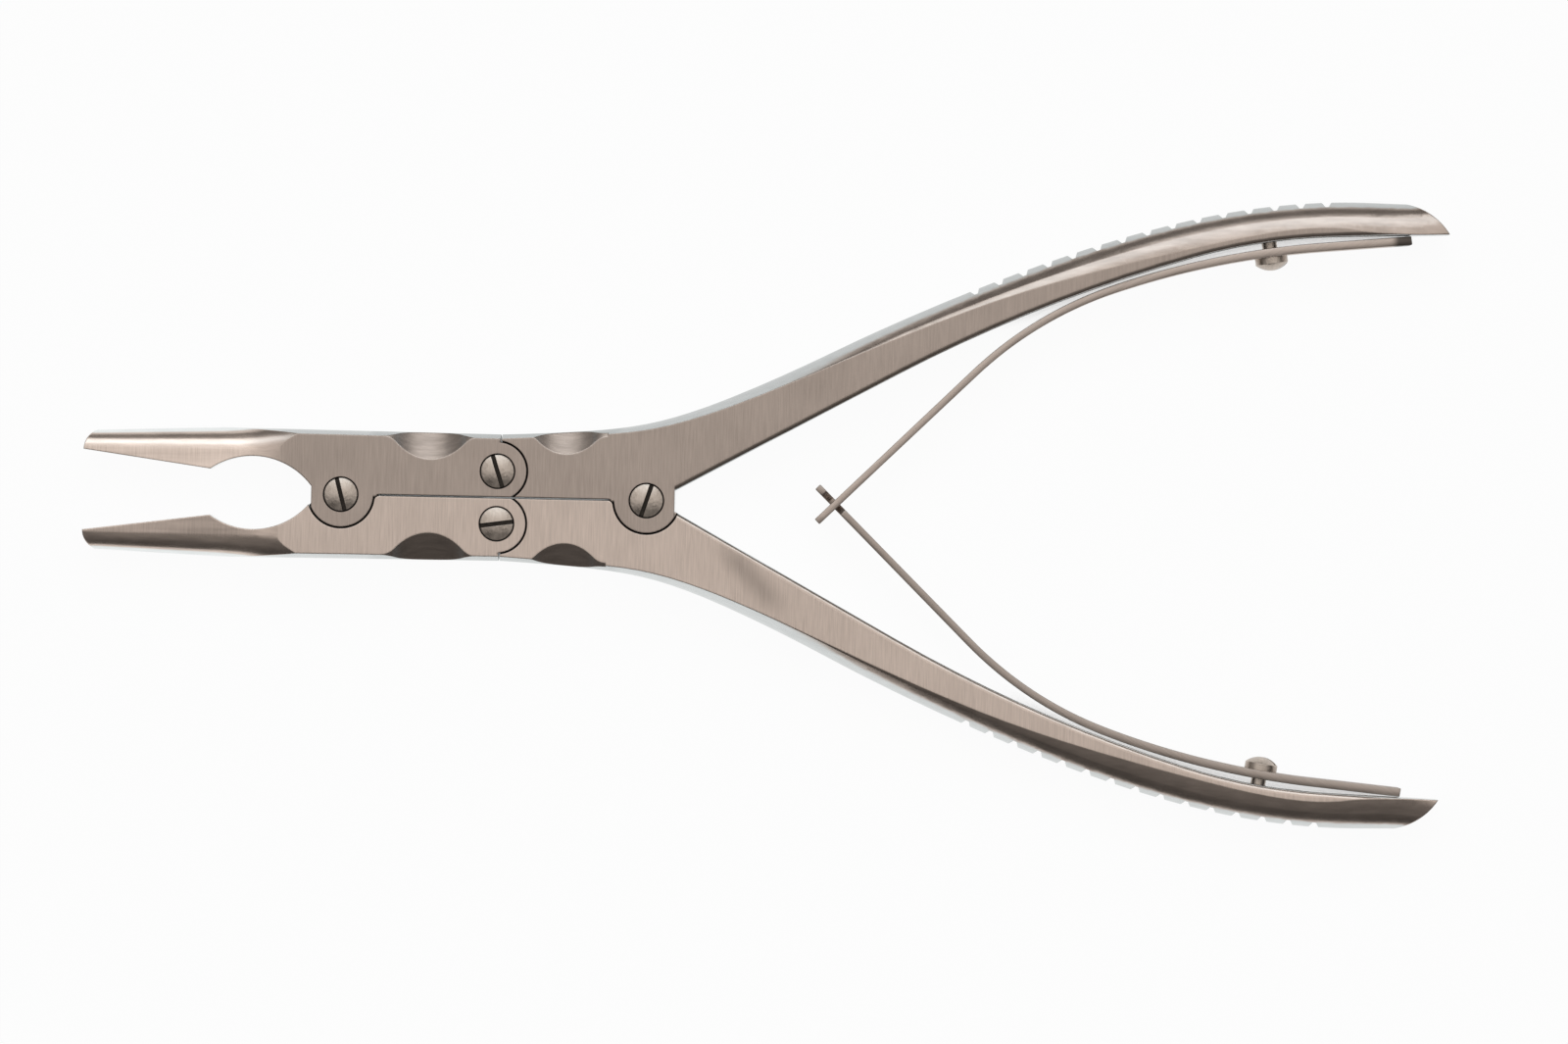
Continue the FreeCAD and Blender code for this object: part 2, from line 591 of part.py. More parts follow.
def make_handle(name, side, boss_on_top):
    plan = doc.addObject("PartDesign::Body", name + "_plan")
    outline = new_sketch(plan, name + "_outline")
    draw_outline(outline, handle_corners(), side)
    pad = add_pad(plan, outline, "Sizes.plate_thickness")
    settle(outline, pad)
    round_inner_edges(plan, pad, name, side)
    link = (LINK_X, side * LINK_Y)
    add_lap(plan, name + "_boss", boss_on_top, side, corners=recess_corners(0, -1))
    add_lap(plan, name + "_link", False, side, centre=link)
    add_bores(plan, name + "_boss", boss_on_top, (0, 0))
    add_bores(plan, name + "_link", False, link)
    add_flutes(plan, name + "_flute", -size("handle_flute_reach"), JOINT_EDGE_Y + FLUTE_RISE,
               size("handle_flute_half_length"), size("handle_flute_depth"), side)
    cut_end(plan, name, side)

    crown = doc.addObject("PartDesign::Body", name + "_crown")
    stations = crest_stations()
    add_crown(crown, stations, side)
    blank = crossed(name + "_blank", "Common", plan, crown)
    tools = crossed(name + "_cutters", "Fuse", groove_cutters(name, side), screw_bore(name, side))
    return crossed(name, "Cut", blank, tools)


def crest_stations():
    """Sections along the crest of a handle, from before its link end to past its tip."""
    walked = walk(*CREST_START, split_legs(CREST_LEGS, 2))
    first_x = LINK_X - size("link_boss_radius") - size("overlap")
    stations = [(first_x, size("plate_half_width"), 0, JOINT)]
    arm_end = walk(*CREST_START, CREST_LEGS[:4])[-1][0]
    grip_start = walk(*CREST_START, CREST_LEGS[:5])[-1][0]
    grip_end = walk(*CREST_START, CREST_LEGS[:6])[-1][0]
    end_half = size("end_half_width")
    end_section = (GRIP[0] * end_half / GRIP[2], GRIP[1], end_half)
    flare_x = SEAM_X + size("waist_length")
    for x, y, heading in walked:
        if x <= flare_x:
            section = JOINT
        elif x <= arm_end:
            section = between(JOINT, ARM, (x - flare_x) / (arm_end - flare_x))
        elif x <= grip_start:
            section = between(ARM, GRIP, (x - arm_end) / (grip_start - arm_end))
        elif x <= grip_end:
            section = GRIP
        else:
            section = end_section
        stations.append((x, y, heading, section))
    return stations


def round_inner_edges(plan, pad, name, side):
    """Round the two long inner edges of a handle, along its straight and its bends."""
    stations = walk(*INNER_START, INNER_LEGS)
    wanted = []
    for index, edge in enumerate(pad.Shape.Edges, start=1):
        ends = [vertex.Point for vertex in edge.Vertexes]
        if len(ends) < 2 or abs(ends[0].z - ends[1].z) > 0.001:
            continue
        for first, last in zip(stations, stations[1:]):
            far = Vector(last[0], side * last[1], ends[0].z)
            near = Vector(first[0], side * first[1], ends[0].z)
            reached = [end for end in ends if end.distanceToPoint(far) < 0.01]
            if reached and edge.distToShape(Part.Vertex(near))[0] < size("boss_radius"):
                wanted.append(f"Edge{index}")
    fillet = plan.newObject("PartDesign::Fillet", name + "_inner_round")
    fillet.Base = (pad, sorted(set(wanted)))
    fillet.setExpression("Radius", "Sizes.inner_round")


def cut_end(plan, name, side):
    """Round off the palm side towards the pointed end of a handle."""
    radius, drop, clear = size("end_radius"), size("end_drop"), size("plan_clearance")
    x, y = size("end_reach") - size("end_centre_setback"), size("end_centre_offset")
    reach = math.sqrt(radius ** 2 - drop ** 2)
    corners = [(x + reach, y - drop, radius), (x, y + radius, 0), (x, y + radius + clear, 0),
               (x + radius + clear, y + radius + clear, 0), (x + radius + clear, y - drop, 0)]
    sketch = new_sketch(plan, name + "_end", base=(0, 0, size("plate_thickness")))
    draw_outline(sketch, corners, side)
    add_pocket(plan, sketch, "2 * Sizes.plate_thickness")


def groove_cutters(name, side):
    """Tapered bars square to the crest, one for each cross groove."""
    wide, floor, depth = size("groove_width"), size("groove_floor"), size("groove_depth")
    spread = wide - floor / 2
    start = sum(math.radians(abs(turn)) * reach if turn else reach for reach, turn in CREST_LEGS[:4])
    bars = []
    for index in range(int(size("groove_count"))):
        distance = start + size("groove_start") + index * size("groove_pitch")
        x, y, heading = point_along(*CREST_START, CREST_LEGS, distance)
        corners = [Vector(-floor / 2, -depth), Vector(floor / 2, -depth), Vector(spread, depth),
                   Vector(-spread, depth)]
        face = Part.Face(Part.makePolygon(corners + corners[:1]))
        face.rotate(Vector(), Vector(0, 0, 1), heading)
        face.translate(Vector(x, y, 0))
        bars.append(face.extrude(Vector(0, 0, size("plate_thickness"))))
    cutters = doc.addObject("Part::Feature", name + "_grooves")
    shape = Part.makeCompound(bars)
    cutters.Shape = shape if side == UPPER else shape.mirror(Vector(), Vector(0, 1, 0))
    return cutters


def distance_where(start, legs, measure, reach):
    """The distance along a path, up to a reach, where a measure of the place turns positive."""
    low, high = 0.0, reach
    while high - low > 1e-6:
        middle = (low + high) / 2
        x, y, heading = point_along(*start, legs, middle)
        if measure(x, y) > 0:
            high = middle
        else:
            low = middle
    return high


def spring_screw_frame(side):
    """Where a spring screw enters the inner face of its handle, and the way that it points."""
    reach = size("spring_screw_reach")
    distance = distance_where(INNER_START, INNER_LEGS, lambda x, y: x - reach, 2 * reach)
    x, y, heading = point_along(*INNER_START, INNER_LEGS, distance)
    return Vector(x, side * y, MID_HEIGHT), Vector(-sin(heading), side * cos(heading), 0), heading


def spring_grip():
    """From the inner face of the handle to the inner face of its spring, along the spring screw."""
    seat, inward, heading = spring_screw_frame(UPPER)
    along = Vector(cos(heading), sin(heading), 0)

    def measure(x, y):
        return (Vector(x, y, MID_HEIGHT) - seat).dot(along)

    distance = distance_where(SPRING_START, SPRING_LEGS, measure, 2 * size("spring_screw_reach"))
    x, y, heading = point_along(*SPRING_START, SPRING_LEGS, distance)
    return (seat - Vector(x, y, MID_HEIGHT)).dot(inward) + size("spring_thickness") / 2


def screw_bore(name, side):
    """Bore for the shank of a spring screw, square to the inner face."""
    seat, inward, heading = spring_screw_frame(side)
    bore = doc.addObject("Part::Cylinder", name + "_spring_bore")
    bore.setExpression("Radius", "Sizes.spring_screw_radius + Sizes.screw_clearance")
    bore.setExpression("Height", "2 * Sizes.spring_screw_bite + Sizes.screw_clearance")
    start = seat - inward * size("spring_screw_bite")
    bore.Placement = Placement(start, Rotation(Vector(0, 0, 1), inward))
    return bore


# Springs

SPRING_LEGS = [(size("spring_overrun") + size("spring_straight"), 0),
               (size("spring_bend_radius"), -size("spring_bend_turn")),
               (size("spring_sweep_radius"), -size("spring_sweep_turn")),
               (size("spring_tail"), 0), (size("spring_foot_radius"), size("spring_foot_turn"))]
SPRING_START = (size("spring_cross_reach") - size("spring_overrun") * cos(size("spring_cross_angle")),
                -size("spring_overrun") * sin(size("spring_cross_angle")),
                size("spring_cross_angle"))


def make_spring(name, side):
    body = doc.addObject("PartDesign::Body", name)
    half = size("spring_thickness") / 2
    near = path_corners(*SPRING_START, SPRING_LEGS, -half)
    far = path_corners(*SPRING_START, SPRING_LEGS, half)
    back = []
    for index in range(len(far) - 1, -1, -1):
        x, y, radius = far[index]
        back.append((x, y, -far[index - 1][2] if index else 0))
    leaf = new_sketch(body, name + "_leaf", base=(0, 0, MID_HEIGHT))
    draw_outline(leaf, near + back, side)
    add_pad(body, leaf, "Sizes.spring_root_width", middle=True)
    cut_spring_taper(body, name)
    cut_spring_tip(body, name, side)
    seat, inward, heading = spring_screw_frame(side)
    hole = new_sketch(body, name + "_hole", "XZ_Plane", (seat.x, MID_HEIGHT, -seat.y),
                      Rotation(Vector(0, 1, 0), side * heading))
    draw_circle(hole, (0, 0), "Sizes.spring_screw_radius + Sizes.screw_clearance")
    add_pocket(body, hole, "4 * Sizes.spring_root_width", middle=True)
    return body


def cut_spring_taper(body, name):
    """Narrow a leaf evenly from the end of its sweep to its tip."""
    tip_x = SPRING_START[0] - size("spring_thickness")
    root_x = walk(*SPRING_START, SPRING_LEGS[:2])[-1][0]
    tip, root = size("spring_tip_width") / 2, size("spring_root_width") / 2
    for face, label in ((1, "_taper_top"), (-1, "_taper_bottom")):
        sketch = new_sketch(body, name + label, "XZ_Plane", (0, MID_HEIGHT, 0))
        corners = [(tip_x, tip, 0), (root_x, root, 0), (root_x, 2 * root, 0), (tip_x, 2 * root, 0)]
        draw_outline(sketch, [(x, face * y, radius) for x, y, radius in corners])
        add_pocket(body, sketch, "8 * Sizes.spring_cross_reach", middle=True)


def cut_spring_tip(body, name, side):
    """Cut the window of the upper leaf, or both flanks of the neck of the lower one."""
    turn = Rotation(Vector(0, 1, 0), side * size("spring_cross_angle"))
    base = (size("spring_cross_reach"), MID_HEIGHT, 0)
    if side == UPPER:
        half, width = size("spring_window_length") / 2, size("spring_window_width") / 2
        cuts = [("_window", -width, width)]
    else:
        half, width = size("spring_neck_length") / 2, size("spring_neck_width") / 2
        far = size("spring_root_width")
        cuts = [("_neck_top", width, far), ("_neck_bottom", -far, -width)]
    for label, low, high in cuts:
        sketch = new_sketch(body, name + label, "XZ_Plane", base, turn)
        draw_outline(sketch, [(-half, low, 0), (half, low, 0), (half, high, 0), (-half, high, 0)])
        add_pocket(body, sketch, "4 * Sizes.spring_thickness", middle=True)


# Screws

def dome_corners(radius, side_height, dome, shanks):
    """Half section of a domed screw, from the top of its dome down its steps of (radius, length)."""
    bend = (radius ** 2 + dome ** 2) / (2 * dome)
    corners = [(0, dome, -bend), (radius, 0, 0), (radius, -side_height, 0)]
    depth = -side_height
    for step, length in shanks:
        corners += [(step, depth, 0), (step, depth - length, 0)]
        depth -= length
    return corners + [(0, depth, 0)]


def make_screw(name, corners, dome, head_radius, slot_turn):
    """Turn a screw about Z, with its seat plane at the height of its origin, and cut its slot."""
    body = doc.addObject("PartDesign::Body", name)
    half = new_sketch(body, name + "_half", "XZ_Plane")
    draw_outline(half, corners)
    turned = body.newObject("PartDesign::Revolution", name + "_turned")
    turned.Profile = half
    turned.ReferenceAxis = (half, ["V_Axis"])
    turned.Angle = 360
    width, reach = size("slot_width") / 2, head_radius + size("overlap")
    slot = new_sketch(body, name + "_slot", base=(0, 0, dome + size("overlap")),
                      turn=Rotation(Vector(0, 0, 1), slot_turn))
    draw_outline(slot, [(-reach, -width, 0), (reach, -width, 0), (reach, width, 0), (-reach, width, 0)])
    add_pocket(body, slot, "Sizes.slot_depth + Sizes.overlap")
    return body


def make_pivot_screw(name, x, y, slot_turn):
    head, dome = size("head_height"), size("dome_height")
    journal = MID_HEIGHT - head + size("lap_gap") / 2
    thread = size("plate_thickness") - head - journal - size("screw_recess")
    corners = dome_corners(size("head_radius"), head, dome,
                           [(size("journal_radius"), journal), (size("thread_radius"), thread)])
    body = make_screw(name, corners, dome, size("head_radius"), slot_turn)
    body.Placement = Placement(Vector(x, y, size("plate_thickness")), Rotation())
    return body


def make_spring_screw(name, side, slot_turn):
    dome = size("spring_screw_dome")
    grip = spring_grip() + size("screw_clearance")
    corners = dome_corners(size("spring_screw_head_radius"), size("spring_screw_head_height"), dome,
                           [(size("spring_screw_radius"), grip + size("spring_screw_bite"))])
    body = make_screw(name, corners, dome, size("spring_screw_head_radius"), slot_turn)
    seat, inward, heading = spring_screw_frame(side)
    head = seat - inward * (grip + size("spring_screw_head_height"))
    body.Placement = Placement(head, Rotation(Vector(0, 0, 1), -inward))
    return body


def finish():
    doc.recompute()
    failed = [item.Name for item in doc.Objects if "Invalid" in item.State or "Error" in item.State]
    if failed:
        raise RuntimeError("failed: " + ", ".join(failed))


pieces = [make_jaw("upper_jaw", UPPER, True), make_jaw("lower_jaw", LOWER, False)]
pieces += [make_handle("upper_handle", UPPER, True), make_handle("lower_handle", LOWER, False)]
pieces += [make_pivot_screw("jaw_pivot_screw", JAW_X, 0, size("jaw_slot_turn")),
           make_pivot_screw("upper_link_screw", LINK_X, LINK_Y, size("upper_link_slot_turn")),
           make_pivot_screw("lower_link_screw", LINK_X, -LINK_Y, size("lower_link_slot_turn")),
           make_pivot_screw("handle_pivot_screw", 0, 0, size("handle_slot_turn"))]
pieces += [make_spring("upper_spring", UPPER), make_spring("lower_spring", LOWER)]
pieces += [make_spring_screw("upper_spring_screw", UPPER, size("upper_spring_slot_turn")),
           make_spring_screw("lower_spring_screw", LOWER, size("lower_spring_slot_turn"))]
finish()

os.makedirs("parts", exist_ok=True)
for piece in pieces:
    if piece.Shape.isNull() or not piece.Shape.isValid():
        raise RuntimeError(piece.Label + " is not a valid shape")
    piece.Shape.exportStep(f"parts/{piece.Label}.step")
    print(piece.Label, len(piece.Shape.Solids), "solid,", round(piece.Shape.Volume, 2), "mm3")
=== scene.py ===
"""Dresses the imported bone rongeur: brushed and satin steel, leaf springs, and a white table."""

import math

import bmesh
import bpy
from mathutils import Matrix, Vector


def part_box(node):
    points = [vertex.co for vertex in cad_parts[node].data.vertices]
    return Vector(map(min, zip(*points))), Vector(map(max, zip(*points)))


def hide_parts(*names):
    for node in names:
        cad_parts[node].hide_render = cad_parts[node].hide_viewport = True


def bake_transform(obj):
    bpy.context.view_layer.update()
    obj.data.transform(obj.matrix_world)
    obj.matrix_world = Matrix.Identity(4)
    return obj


bl_info = {
    "name": "Bone rongeur",
    "version": (1, 0, 0),
    "blender": (4, 5, 0),
    "location": "3D View > Sidebar > Rongeur",
    "description": "Finishes the steel, builds the leaf springs and sets the table of a rongeur",
    "category": "Object",
}

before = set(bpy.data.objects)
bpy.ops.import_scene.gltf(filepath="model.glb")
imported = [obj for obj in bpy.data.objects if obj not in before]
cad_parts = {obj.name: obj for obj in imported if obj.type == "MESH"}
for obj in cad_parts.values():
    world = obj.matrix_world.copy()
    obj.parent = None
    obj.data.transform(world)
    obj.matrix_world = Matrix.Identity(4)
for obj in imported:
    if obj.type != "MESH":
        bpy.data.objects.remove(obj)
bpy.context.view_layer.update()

MM = 0.001
LEVERS = ("upper_jaw", "lower_jaw", "upper_handle", "lower_handle")
PIVOT_SCREWS = ("jaw_pivot_screw", "upper_link_screw", "lower_link_screw", "handle_pivot_screw")
SPRING_SCREWS = ("upper_spring_screw", "lower_spring_screw")
SIDES = {"upper": 1, "lower": -1}
MIDDLE_HEIGHT = sum(corner.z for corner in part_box("upper_spring")) / 2
PLATE_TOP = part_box("upper_jaw")[1].z


def middle_of(name):
    """The middle of a node's box."""
    low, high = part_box(name)
    return (low + high) / 2


# Pivots and the radii of the seams round the bosses
JAW_PIVOT_X = middle_of("jaw_pivot_screw").x
LINK_X = middle_of("upper_link_screw").x
LINK_Y = middle_of("upper_link_screw").y
MAIN_SEAM = 4.38 * MM
LINK_SEAM = 3.92 * MM
HEAD_SEAM = 2.22 * MM

# Along the tool, where one finish passes into the next
SPOON_ENDS = (-54 * MM, -47 * MM)
JOINT_STARTS = (-37 * MM, -35.5 * MM)
JOINT_ENDS = (-4.5 * MM, -3 * MM)
MIDDLE_SEAM_STARTS = (JAW_PIVOT_X + 4.6 * MM, JAW_PIVOT_X + 5 * MM)
MIDDLE_SEAM_ENDS = (-5 * MM, -4.6 * MM)

# The same by how upright a surface faces: 1 or -1 on the flat faces, 0 on the sides
# STEEP_SIDES also sets where the painted whiter reflection of the sides takes over from the face
# colour
STEEP_SIDES = (0.50, 0.64)
TOP_FACES = (0.90, 0.97)
FLAT_FACES = (0.985, 0.998)

# Darker and lighter share of a colour, between which brush lines and clouds vary it
FACE_TONES = (0.72, 1.28)
SIDE_SHEEN_TONES = (0.86, 1.06)
SCREW_TONES = (0.6, 1.25)
SPRING_TONES = (0.75, 1.2)

# Painted light and shade: how much darker or lighter than the face colour these parts of the
# levers are drawn, the upper levers darker and the lower levers' flat faces lighter as the light
# falls on them; the spoons are lighter too
UPPER_LEVERS_SHADE = -0.18
LOWER_FACES_LIGHT = 0.2
SPOONS = 0.27

# Grain of the levers and of the screws
STREAK_WIDTHS = 6  # brush lines in a lengthwise streak
RIPPLE = (18 * MM, 0.9 * MM, 0.9 * MM)
RIPPLE_LEAN = 0.12
CLOUD_GLOSS = 0.08
SPOT = 0.9 * MM
NICK = 0.35 * MM
LATHE_LINE = (0.12 * MM, 2 * MM, 2 * MM)
SPRING_LINE = (8 * MM, 0.2 * MM, 0.2 * MM)
SPRING_CLOUD = 4 * MM

OIL_AND_SHADE = (0.012, 0.010, 0.009, 1.0)
RECESS_SHADE_SHARE = 0.06
LOWER_SPRING_SHADE = 0.74
FOOT_SHADE_SHARE = 0.2
SPRING_LEAN = math.radians(36)

# The painted shade streak on the lower arm, where its rounded back turns away from the light
SHADE_STREAK_PLACE = (14.2 * MM, -10 * MM)
SHADE_STREAK_STRENGTH = 0.4
DIAGONAL = 0.707


def settings(name):
    """The property group of that name on the scene."""
    return getattr(bpy.context.scene, name)


# Materials


class Wire:
    """A number that flows between shader nodes. Sums and products of wires add Math nodes."""

    def __init__(self, finish, socket):
        self.finish = finish
        self.socket = socket

    def math(self, operation, *values):
        return self.finish.node("Math", {"operation": operation}, dict(enumerate(values)))

    def __add__(self, other):
        return self.math("ADD", self, other)

    def __radd__(self, other):
        return self.math("ADD", other, self)

    def __sub__(self, other):
        return self.math("SUBTRACT", self, other)

    def __rsub__(self, other):
        return self.math("SUBTRACT", other, self)

    def __mul__(self, other):
        return self.math("MULTIPLY", self, other)

    def __rmul__(self, other):
        return self.math("MULTIPLY", other, self)

    def __pow__(self, other):
        return self.math("POWER", self, other)

    def __abs__(self):
        return self.math("ABSOLUTE", self)

    def larger(self, other):
        return self.math("MAXIMUM", self, other)

    def ramp(self, low, high, start=0.0, end=1.0):
        """Passes smoothly from start at low to end at high."""
        return self.finish.node("MapRange", {"interpolation_type": "SMOOTHSTEP", "clamp": True},
                                {"Value": self, "From Min": low, "From Max": high,
                                 "To Min": start, "To Max": end})

    def fall(self, low, high):
        """Falls smoothly from 1 at low to 0 at high."""
        return self.ramp(low, high, 1.0, 0.0)


class Finish:
    """A material or world under construction."""

    def __init__(self, owner):
        owner.use_nodes = True
        self.owner = owner
        self.nodes = owner.node_tree.nodes
        self.links = owner.node_tree.links
        self.nodes.clear()

    def node(self, kind, choices=None, sockets=None, output=0):
        """Add a shader node: first its choices, then the values or links of its sockets."""
        made = self.nodes.new("ShaderNode" + kind)
        for name, choice in (choices or {}).items():
            setattr(made, name, choice)
        for name, value in (sockets or {}).items():
            if isinstance(value, Wire):
                self.links.new(value.socket, made.inputs[name])
            else:
                made.inputs[name].default_value = value
        return Wire(self, made.outputs[output]) if made.outputs else made

    def mix(self, share, first, second):
        """Blend two colours by a share that a wire carries."""
        return self.node("Mix", {"data_type": "RGBA", "clamp_factor": True},
                         {"Factor": share, 6: first, 7: second}, 2)

    def tones(self, tone, colour, shares):
        """A colour between its darker and its lighter share, as the tone says."""
        darker, lighter = shares
        return self.mix(tone, shade(colour, darker), shade(colour, lighter))

    def parts(self, vector):
        """The three numbers of a vector."""
        split = self.node("SeparateXYZ", None, {0: vector})
        return [Wire(self, socket) for socket in split.socket.node.outputs]

    def place(self):
        """A point's place in the row frame."""
        return self.node("TexCoord", output="Object")

    def grain(self, size, centre=(0, 0, 0), turn=0.0, detail=2.0, seed=0.0):
        """Noise whose grains measure size, in metres along the three axes, turned about Z."""
        mapped = self.node("Mapping", {"vector_type": "TEXTURE"},
                           {"Vector": self.place(), "Location": centre, "Rotation": (0, 0, turn),
                            "Scale": size})
        shifted = self.node("VectorMath", {"operation": "ADD"}, {0: mapped, 1: (seed, seed, seed)})
        return self.node("TexNoise", None, {"Vector": shifted, "Scale": 1.0, "Detail": detail})

    def softened(self, radius, up, across=0.0):
        """The surface's direction, its edges eased, leaning to the flat faces and across."""
        eased = self.node("Bevel", {"samples": 6}, {"Radius": radius})
        upright = self.parts(eased)[2]
        lean = upright.math("SIGN", upright) * up
        towards = self.node("CombineXYZ", None, {"Y": across, "Z": lean})
        leaning = self.node("VectorMath", {"operation": "ADD"}, {0: eased, 1: towards})
        return self.node("VectorMath", {"operation": "NORMALIZE"}, {0: leaning})

    def steel(self, colour, roughness, bumps, normal):
        """The shader of a metal whose relief is the heights, each with its depth in metres."""
        for height, depth in bumps:
            normal = self.node("Bump", None, {"Height": height, "Distance": depth,
                                              "Strength": 1.0, "Normal": normal})
        shader = self.node("BsdfPrincipled", None, {"Base Color": colour, "Roughness": roughness,
                                                    "Metallic": 1.0, "Normal": normal})
        self.node("OutputMaterial", None, {"Surface": shader})
        return self.owner


def new_finish(name):
    """An empty material of that name."""
    return Finish(bpy.data.materials.new(name))


def shade(colour, share):
    """A colour made darker or lighter by a share."""
    return [channel * share for channel in colour[:3]] + [1.0]


def seam_oil_and_shade(x, y, upright, side):
    """Dark lines along the seams of the top faces, round the bosses and along the middle: partly
    oil, partly painted shade of the gaps between the parts.
    """
    width = settings("rongeur_steel").seam_width

    def line(distance):
        return abs(distance).fall(0.5 * width, width)

    def ring(centre_x, centre_y, radius):
        return line(((x - centre_x) ** 2 + (y - centre_y) ** 2) ** 0.5 - radius)

    low = y.fall(-0.3 * MM, 0.1 * MM)
    mains = ring(JAW_PIVOT_X, 0.0, MAIN_SEAM).larger(ring(0.0, 0.0, MAIN_SEAM)) * low
    behind = x.ramp(LINK_X, LINK_X + 0.5 * MM)
    link = ring(LINK_X, side * LINK_Y, LINK_SEAM) * behind
    middle = line(y) * (x.ramp(*MIDDLE_SEAM_STARTS) * x.fall(*MIDDLE_SEAM_ENDS))
    heads = ring(JAW_PIVOT_X, 0.0, HEAD_SEAM).larger(ring(0.0, 0.0, HEAD_SEAM))
    heads = heads.larger(ring(LINK_X, side * LINK_Y, HEAD_SEAM))
    return mains.larger(link).larger(middle).larger(heads) * upright.ramp(*TOP_FACES)


def painted_shade_streak(x, y, upright):
    """Painted shade: a soft dark streak across the lower arm, where its rounded back begins and
    turns away from the light.
    """
    from_x, from_y = x - SHADE_STREAK_PLACE[0], y - SHADE_STREAK_PLACE[1]
    across = (from_x + from_y) * DIAGONAL
    along = (from_x - from_y) * DIAGONAL
    return (abs(across).fall(0.0, 2.4 * MM) * abs(along).fall(2.5 * MM, 7.5 * MM)
            * upright.ramp(*TOP_FACES))


def satin_steel(name, side):
    """Flat faces brushed across the lever, and rounded sides ground along it."""
    steel = settings("rongeur_steel")
    finish = new_finish(name)
    width, length = steel.brush_width, steel.brush_length
    x, y, _ = finish.parts(finish.place())
    scratches = finish.grain((width, length, length), detail=3.0)
    streaks = finish.grain((length, STREAK_WIDTHS * width, STREAK_WIDTHS * width), seed=7.0)
    clouds = finish.grain((steel.cloud_size,) * 3, seed=3.0)
    ripples = finish.grain(RIPPLE, seed=11.0)
    turned = finish.parts(finish.node("TexCoord", output="Normal"))[2]
    upright = abs(turned)
    flat = upright.ramp(*FLAT_FACES)
    sheen_share = upright.fall(*STEEP_SIDES)
    spoon = x.fall(*SPOON_ENDS)
    joint = x.ramp(*JOINT_STARTS) * x.fall(*JOINT_ENDS)
    lines = flat * scratches + (1 - flat) * streaks
    tone = ((lines - 0.5) * steel.brush_contrast + (clouds - 0.5) * steel.cloud_contrast
            + (ripples - 0.5) * spoon * steel.ripple_contrast + 0.5)
    # Painted reflection: the steep sides take a lighter, whiter colour that stands in for the
    # white table mirrored at a grazing angle; the faces keep their warm brushed colour
    colour = finish.mix(sheen_share, finish.tones(tone, steel.face_colour, FACE_TONES),
                        finish.tones(tone, steel.side_sheen_colour, SIDE_SHEEN_TONES))
    # Painted light and shade: the upper levers are drawn darker and the lower levers' flat faces
    # lighter; the spoons are lighter as well
    lighter = UPPER_LEVERS_SHADE if side > 0 else flat * LOWER_FACES_LIGHT
    level = (1 - spoon) * lighter + spoon * SPOONS + 1.0
    colour = finish.node("VectorMath", {"operation": "SCALE"}, {0: colour, "Scale": level})
    # Painted shade: a dark streak across the lower handle's top face
    if name == "lower_handle_steel":
        colour = finish.mix(painted_shade_streak(x, y, turned) * SHADE_STREAK_STRENGTH, colour,
                            shade(steel.face_colour, 0.35))
    # Dark seam lines: partly oil, partly painted shade of the gaps between the parts
    colour = finish.mix(seam_oil_and_shade(x, y, turned, side), colour, OIL_AND_SHADE)
    roughness = (flat * (steel.face_roughness - steel.side_roughness) + steel.side_roughness
                 + (clouds - 0.5) * CLOUD_GLOSS)
    across = (ripples - 0.5) * spoon * RIPPLE_LEAN + spoon * (side * steel.spoon_lean)
    normal = finish.softened(steel.edge_ease, steel.side_lean + joint * steel.flute_lean, across)
    return finish.steel(colour, roughness, [(lines, steel.brush_depth)], normal)


def screw_steel(name, centre, top):
    """Turned steel, worn and mottled, with painted shade at the rim and in the slot below the top
    height.
    """
    steel = settings("rongeur_steel")
    finish = new_finish(name)
    spots = finish.grain((SPOT,) * 3, centre=centre, detail=5.0)
    nicks = finish.grain((NICK,) * 3, centre=centre, detail=3.0, seed=5.0)
    turned = finish.grain(LATHE_LINE, centre=centre, seed=9.0)
    tone = (spots - 0.5) * 1.4 + (turned - 0.5) * 0.5 + 0.5
    colour = finish.tones(tone, steel.screw_colour, SCREW_TONES)
    # Painted shade: the slot and the rim below the top height are drawn nearly black
    height = finish.parts(finish.place())[2] + (nicks - 0.5) * (0.12 * MM)
    colour = finish.mix(height.fall(top - 0.12 * MM, top + 0.06 * MM), colour,
                        shade(steel.screw_colour, RECESS_SHADE_SHARE))
    roughness = spots.ramp(0.3, 0.7, 0.24, 0.42)
    return finish.steel(colour, roughness, [(nicks, 0.03 * MM), (turned, 0.01 * MM)],
                        finish.softened(0.10 * MM, 0.0))


